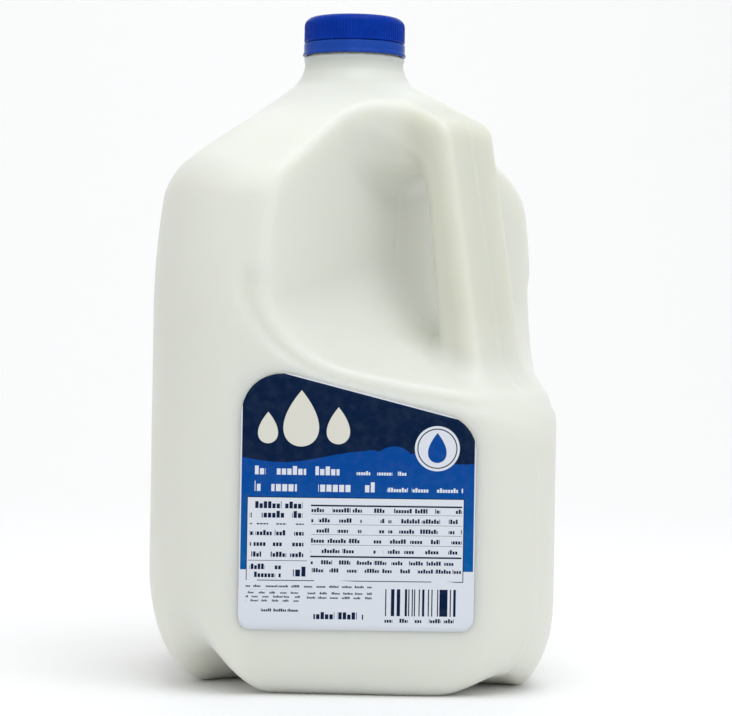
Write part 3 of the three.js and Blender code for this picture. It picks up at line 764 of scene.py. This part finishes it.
def bottle_material(sizes):
    """Milky plastic over milk: greyer above the milk, darker and yellower in the handle for its thin column
    of milk and, as painted shade, on the slot's floor and the bar's underside beside it; faintly mottled and
    wavy.
    """
    material, nodes, bsdf, place = new_material("milky plastic")
    x, y, z = nodes.node("ShaderNodeSeparateXYZ", {0: place}).outputs
    u = nodes.math("DIVIDE", nodes.minus(x, y), ROOT2 * MM)
    v = nodes.math("DIVIDE", nodes.math("ABSOLUTE", nodes.math("ADD", x, y)), ROOT2 * MM)
    # Mask of the handle and of the slot's floor and bar underside beside it; the darker colour it gets is
    # painted shade in the slot.
    on_leg = nodes.between(z, SLIM_SHADE_LOW * MM, SLIM_SHADE_HIGH * MM)
    handle_and_slot_shade = nodes.times(nodes.between(u, SLIM_SHADE_FROM, SLIM_SHADE_TO), on_leg)
    handle_and_slot_shade = nodes.times(handle_and_slot_shade, nodes.between(v, SLIM_SHADE_EDGE, SLIM_SHADE_HALF))
    milk_soft, collar_soft = MILK_SOFT * MM, COLLAR_SOFT * MM
    above = nodes.between(z, sizes.milk_level - milk_soft, sizes.milk_level + milk_soft)
    collar = nodes.between(z, sizes.collar - collar_soft, sizes.collar + collar_soft, 0.0, COLLAR_SHARE)
    tint = nodes.mix(nodes.math("MAXIMUM", above, collar), colour(sizes.plastic), colour(sizes.empty))
    # Handle colour over the mask: thin milk in the handle, painted shade in the slot.
    tint = nodes.mix(handle_and_slot_shade, tint, colour(sizes.slim))
    cloudy = nodes.mottle(place, scale=28.0, detail=4.0, start=0.0, end=0.06)
    tint = nodes.mix(cloudy, tint, colour(np.array(sizes.plastic) * MOTTLE_DARK))
    rough = nodes.mottle(place, scale=160.0, detail=3.0, start=0.36, end=0.46)
    dress(nodes, bsdf, place, tint, rough,
          wave=22 * MM, peel=1.6 * MM, peel_share=0.05, depth=0.8 * MM, strength=0.25)
    bsdf.inputs["IOR"].default_value = 1.46
    bsdf.inputs["Subsurface Weight"].default_value = 1.0
    bsdf.inputs["Subsurface Radius"].default_value = (1.0, 0.92, 0.75)
    bsdf.inputs["Subsurface Scale"].default_value = 12 * MM
    return material


def cap_material(name, blue, roughness):
    """Coloured moulded plastic with faint flow marks and scuffs."""
    material, nodes, bsdf, place = new_material(name)
    flow = nodes.mottle(place, scale=180.0, detail=4.0, start=0.0, end=0.5, high=0.75)
    tint = nodes.mix(flow, colour(blue), colour(np.array(blue) * FLOW_LIGHTER + FLOW_LIFT))
    least, most = roughness - ROUGH_LESS, roughness + ROUGH_MORE
    rough = nodes.mottle(place, scale=420.0, detail=3.0, start=least, end=most)
    dress(nodes, bsdf, place, tint, rough,
          wave=9 * MM, peel=0.5 * MM, peel_share=0.12, depth=0.15 * MM, strength=0.2)
    bsdf.inputs["Specular IOR Level"].default_value = 0.06
    return material


class LabelPrint:
    """Layers of ink over the label's fields, placed in millimetres from the neck's axis and the floor."""

    def __init__(self, nodes, place, look):
        self.nodes = nodes
        parts = nodes.node("ShaderNodeSeparateXYZ", {0: place}).outputs
        self.x = nodes.math("DIVIDE", parts["X"], MM)
        self.z = nodes.math("DIVIDE", parts["Z"], MM)
        foot_blue = np.array(look.blue) * FOOT_LIGHTER
        inks = [colour(ink) for ink in (look.film, look.navy, look.blue, foot_blue)]
        self.tint = nodes.place(print_fields, self.x, self.z, *inks)

    def ink(self, mask, tint):
        """Prints a colour over what is there, where the mask is 1."""
        self.tint = self.nodes.mix(mask, self.tint, colour(tint))

    def box(self, *edges):
        """Mask of a box by its left, right, bottom and top."""
        return self.nodes.place(print_box, self.x, self.z, *edges)

    def disc(self, x, z, radius):
        """Mask of a disc by its centre and radius."""
        return self.nodes.place(print_disc, self.x, self.z, x, z, radius)

    def drop(self, centre, bottom, height, width):
        """Mask of a drop by its middle, foot and size."""
        return self.nodes.place(print_drop, self.x, self.z, centre, bottom, height, width)

    def words(self, mask, places):
        """A mask with words added, each set from the foot of its area up and only inside it."""
        for *area, pitch, height, word, seed in places:
            lifted = self.nodes.minus(self.z, area[2])
            rows = self.nodes.place(print_words, self.x, lifted, pitch, height, word, seed)
            mask = self.nodes.math("MAXIMUM", mask, self.nodes.times(rows, self.box(*area)))
        return mask


def print_motifs(ink, look):
    """Cream drops, a white roundel with a drop in it, and white blocks for the title's words."""
    for drop in DROPS:
        ink.ink(ink.drop(*drop), look.cream)
    x, z, radius = ROUNDEL
    ink.ink(ink.disc(x, z, radius), look.film)
    ink.ink(ink.disc(x, z, radius - ROUNDEL_RING), look.navy)
    ink.ink(ink.disc(x, z, radius - ROUNDEL_INSIDE), look.film)
    ink.ink(ink.drop(x, z - ROUNDEL_DROP_UNDER, *ROUNDEL_DROP_SIZE), look.blue)
    ink.ink(ink.words(0.0, TITLE_WORDS), look.film)


def print_panel(ink, look):
    """Framed white table with rules, and rows of blocks for its words."""
    nodes = ink.nodes
    left, right, bottom, top = PANEL
    ink.ink(ink.box(left, right, bottom, top), look.navy)
    inside = (left + PANEL_FRAME, right - PANEL_FRAME, bottom + PANEL_FRAME, top - PANEL_FRAME)
    ink.ink(ink.box(*inside), look.film)
    lifted = nodes.minus(ink.z, TABLE_FOOT)
    rows = nodes.math("FRACT", nodes.math("DIVIDE", nodes.math("ADD", lifted, RULE_UNDER), PANEL_RULE_PITCH))
    thin = nodes.math("LESS_THAN", rows, PANEL_RULE / PANEL_RULE_PITCH)
    table = ink.box(PANEL_COLUMNS[0][0], PANEL_COLUMNS[-1][1], TABLE_FOOT, TABLE_TOP)
    rules = nodes.times(thin, table)
    for area in PANEL_RULES:
        rules = nodes.math("MAXIMUM", rules, ink.box(*area))
    words = nodes.place(print_words, ink.x, lifted, PANEL_RULE_PITCH, *TABLE_WORDS)
    columns = 0.0
    for start, end in PANEL_COLUMNS:
        columns = nodes.math("MAXIMUM", columns, ink.box(start, end, TABLE_FOOT, TABLE_TOP))
    dark = nodes.math("MAXIMUM", rules, nodes.times(words, columns))
    ink.ink(ink.words(dark, PANEL_WORDS), look.navy)


def print_foot(ink, look):
    """Small rows of blocks on the bare film, and upright bars of chance widths."""
    nodes = ink.nodes
    column = nodes.math("FLOOR", nodes.math("DIVIDE", ink.x, BAR_MODULE))
    chance = nodes.node("ShaderNodeTexWhiteNoise", {"W": column}, noise_dimensions="1D").outputs["Value"]
    dark = nodes.times(nodes.math("GREATER_THAN", chance, BAR_SHARE), ink.box(*BARS))
    ink.ink(ink.words(dark, FOOT_WORDS), look.navy)


def label_material(name, look, print_zone):
    """Printed film: the fields and the print of one zone in flat inks, with a faint mottle and ripple."""
    material, nodes, bsdf, place = new_material(name)
    ink = LabelPrint(nodes, place, look)
    print_zone(ink, look)
    worn = nodes.mottle(place, scale=350.0, detail=4.0, start=0.0, end=0.012, low=0.35, high=0.75)
    tint = nodes.mix(worn, ink.tint, colour(look.film))
    rough = nodes.mottle(place, scale=240.0, detail=2.0, start=0.40, end=0.52)
    dress(nodes, bsdf, place, tint, rough,
          wave=18 * MM, peel=0.8 * MM, peel_share=0.03, depth=0.5 * MM, strength=0.15)
    bsdf.inputs["Specular IOR Level"].default_value = 0.05
    return material


# Operators

class MILKJUG_OT_bottle(bpy.types.Operator):
    """Adds the blow-moulded bottle with its handle and neck"""

    bl_idname = "milk_jug.bottle"
    bl_label = "Add bottle"

    def execute(self, context):
        sizes = context.scene.milk_jug_bottle
        half_width, grip_half = sizes.half_width / MM, sizes.grip_half / MM
        lean = (LEG_END[0] - BEND[0]) / (BEND[1] - LEG_END[1])

        def leaning(w, v, z):
            return bottle_distance(w + lean * (BEND[1] - z), v, z, half_width, grip_half)

        vertices, faces = surface_net(leaning, [grid_lines(*axis) for axis in (NET_W, NET_V, NET_Z)])
        for _ in range(RELAX_ROUNDS):
            vertices = relax(leaning, vertices, faces)
        slope = slope_of(leaning, vertices)
        w, v, z = vertices.T
        u = w + lean * (BEND[1] - z)
        placed = np.stack([(u + v) / ROOT2, (v - u) / ROOT2, np.maximum(z, 0)], axis=1)
        slope_w, slope_v, slope_z = slope.T
        slope_x, slope_y = (slope_w + slope_v) / ROOT2, (slope_v - slope_w) / ROOT2
        normals = np.stack([slope_x, slope_y, slope_z + lean * slope_w], axis=1)
        normals /= np.linalg.norm(normals, axis=1, keepdims=True)
        piece = new_piece("bottle", placed * MM, faces)
        piece.data.normals_split_custom_set_from_vertices(normals.tolist())
        piece.data.materials.append(bottle_material(sizes))
        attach(piece, "root")
        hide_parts("jug")
        return {"FINISHED"}


class MILKJUG_OT_cap(bpy.types.Operator):
    """Adds the ribbed screw cap"""

    bl_idname = "milk_jug.cap"
    bl_label = "Add cap"

    def execute(self, context):
        look = context.scene.milk_jug_cap
        vertices, faces = cap_surface(look.ribs, look.rib_depth / MM)
        piece = new_piece("screw_cap", vertices * MM, faces)
        weld(piece)
        piece.data.materials.append(cap_material("cap plastic", look.blue, roughness=0.22))
        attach(piece, "root")
        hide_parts("cap")
        return {"FINISHED"}


class MILKJUG_OT_band(bpy.types.Operator):
    """Adds the tamper band under the cap"""

    bl_idname = "milk_jug.band"
    bl_label = "Add tamper band"

    def execute(self, context):
        look = context.scene.milk_jug_cap
        vertices, faces = band_surface()
        piece = new_piece("tamper_ring", vertices * MM, faces)
        piece.data.materials.append(cap_material("band plastic", look.band_blue, roughness=0.2))
        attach(piece, "root")
        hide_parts("tamper_band")
        return {"FINISHED"}


class MILKJUG_OT_label(bpy.types.Operator):
    """Adds the printed label on the front wall"""

    bl_idname = "milk_jug.label"
    bl_label = "Add label"

    def execute(self, context):
        look, sizes = context.scene.milk_jug_label, context.scene.milk_jug_bottle
        vertices, faces = label_surface(sizes.half_width / MM, sizes.grip_half / MM, look.lift / MM)
        piece = new_piece("printed_label", vertices * MM, faces)
        sheet = piece.modifiers.new("sheet", "SOLIDIFY")
        sheet.thickness = look.thick
        zones = {"film foot": print_foot, "film table": print_panel, "film title": print_motifs}
        for name, print_zone in zones.items():
            piece.data.materials.append(label_material(name, look, print_zone))
        middle = vertices[faces][:, :, 2].mean(1)
        zone = (middle > PANEL_ZONE).astype(np.int32) + (middle > TITLE_ZONE)
        piece.data.polygons.foreach_set("material_index", zone)
        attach(piece, "root")
        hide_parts("label")
        return {"FINISHED"}


class MILKJUG_OT_stage(bpy.types.Operator):
    """Adds the floor, the lights and the camera"""

    bl_idname = "milk_jug.stage"
    bl_label = "Add stage"

    def execute(self, context):
        look = context.scene.milk_jug_stage
        self.floor(look)
        middle, back = (0.0, 0.0, 0.12), (0.0, 1.6, 0.5)
        self.light("top light", (0.12, -0.42, 1.1), middle, look.top_power, size=0.8, tint=look.top_tint)
        self.light("key light", (0.8, -1.05, 0.55), middle, look.key_power, size=0.8)
        self.light("backdrop light", (0.0, 0.7, 1.6), back, look.back_power, size=1.2)
        world = bpy.data.worlds.new("studio")
        world.use_nodes = True
        background = world.node_tree.nodes["Background"].inputs
        background["Color"].default_value = colour(WHITE)
        background["Strength"].default_value = look.surround
        context.scene.world = world
        context.scene.view_settings.view_transform = "Standard"
        self.camera(context)
        return {"FINISHED"}

    def floor(self, look):
        """Backdrop: a flat floor that bends up into a wall, as a profile carried along X."""
        front, reach, bend, wall, half, columns, bend_points = -1.4, 1.6, 0.6, 2.2, 3.0, 9, 24
        turn = np.linspace(0, math.pi / 2, bend_points)
        along = np.concatenate([[front], reach - bend + bend * np.sin(turn), [reach]])
        up = np.concatenate([[0.0], bend - bend * np.cos(turn), [wall]])
        across = np.linspace(-half, half, columns)
        grid = np.stack(np.broadcast_arrays(across[:, None], along[None], up[None]), axis=-1)
        backdrop = new_piece("backdrop", grid.reshape(-1, 3), sheet_faces(columns, len(along)))
        material, nodes, bsdf, place = new_material("paper backdrop")
        grain = nodes.mottle(place, scale=60.0, detail=3.0, start=0.0, end=0.02)
        shade = (0.86, 0.86, 0.86)
        nodes.link(nodes.mix(grain, colour(look.floor), colour(shade)), bsdf.inputs["Base Color"])
        bsdf.inputs["Roughness"].default_value = 0.8
        backdrop.data.materials.append(material)

    def light(self, name, place, target, power, size, tint=WHITE):
        """Soft square light of a given size that faces a target."""
        lamp = bpy.data.lights.new(name, "AREA")
        lamp.size = size
        lamp.energy = power
        lamp.color = tint
        holder = bpy.data.objects.new(name, lamp)
        holder.location = place
        holder.rotation_euler = (Vector(target) - Vector(place)).to_track_quat("-Z", "Y").to_euler()
        bpy.context.scene.collection.objects.link(holder)

    def camera(self, context):
        """Camera at the photograph's angle: level, a little to the left of the label, slightly rolled."""
        azimuth, roll = math.radians(-3.0), math.radians(0.95)
        distance, height = 1.0, 0.130
        # The lens, the width, the middle and the camera's axis in pixels of the photograph.
        focal, width, centre, axis = 2548.0, 732.0, (366.0, 358.0), (349.6, 341.0)
        right = Vector((math.cos(azimuth), math.sin(azimuth), 0.0))
        forward = Vector((-math.sin(azimuth), math.cos(azimuth), 0.0))
        up = Vector((0.0, 0.0, 1.0))
        view_x = right * math.cos(roll) + up * math.sin(roll)
        view_y = up * math.cos(roll) - right * math.sin(roll)
        turn = Matrix((view_x, view_y, -forward)).transposed()
        data = bpy.data.cameras.new("camera")
        data.sensor_width = 36.0
        data.lens = data.sensor_width * focal / width
        data.shift_x = (centre[0] - axis[0]) / width
        data.shift_y = (axis[1] - centre[1]) / width
        data.clip_start, data.clip_end = 0.05, 20.0
        camera = bpy.data.objects.new("camera", data)
        camera.matrix_world = Matrix.Translation(up * height - forward * distance) @ turn.to_4x4()
        context.scene.collection.objects.link(camera)
        context.scene.camera = camera


class MILKJUG_PT_sidebar(bpy.types.Panel):
    """Sidebar panel with a button for each piece and for the stage"""

    bl_idname = "MILKJUG_PT_sidebar"
    bl_label = "Milk jug"
    bl_space_type = "VIEW_3D"
    bl_region_type = "UI"
    bl_category = "Milk jug"

    def draw(self, context):
        scene = context.scene
        for operator, look in PIECES:
            box = self.layout.box()
            box.operator(operator.bl_idname)
            values = getattr(scene, look)
            for name in values.__annotations__:
                box.prop(values, name)


PIECES = (
    (MILKJUG_OT_bottle, "milk_jug_bottle"),
    (MILKJUG_OT_cap, "milk_jug_cap"),
    (MILKJUG_OT_band, "milk_jug_cap"),
    (MILKJUG_OT_label, "milk_jug_label"),
    (MILKJUG_OT_stage, "milk_jug_stage"),
)
LOOKS = {
    "milk_jug_bottle": MilkJugBottle,
    "milk_jug_cap": MilkJugCap,
    "milk_jug_label": MilkJugLabel,
    "milk_jug_stage": MilkJugStage,
}
CLASSES = (*LOOKS.values(), *(operator for operator, look in PIECES), MILKJUG_PT_sidebar)


def register():
    """Registers the classes and gives the scene their values."""
    for kind in CLASSES:
        bpy.utils.register_class(kind)
    for name, kind in LOOKS.items():
        setattr(bpy.types.Scene, name, PointerProperty(type=kind))


def unregister():
    """Takes back what register did."""
    for name in LOOKS:
        delattr(bpy.types.Scene, name)
    for kind in reversed(CLASSES):
        bpy.utils.unregister_class(kind)


def main():
    """Makes every piece."""
    register()
    bpy.ops.milk_jug.bottle()
    bpy.ops.milk_jug.cap()
    bpy.ops.milk_jug.band()
    bpy.ops.milk_jug.label()
    bpy.ops.milk_jug.stage()


if __name__ == "__main__":
    main()
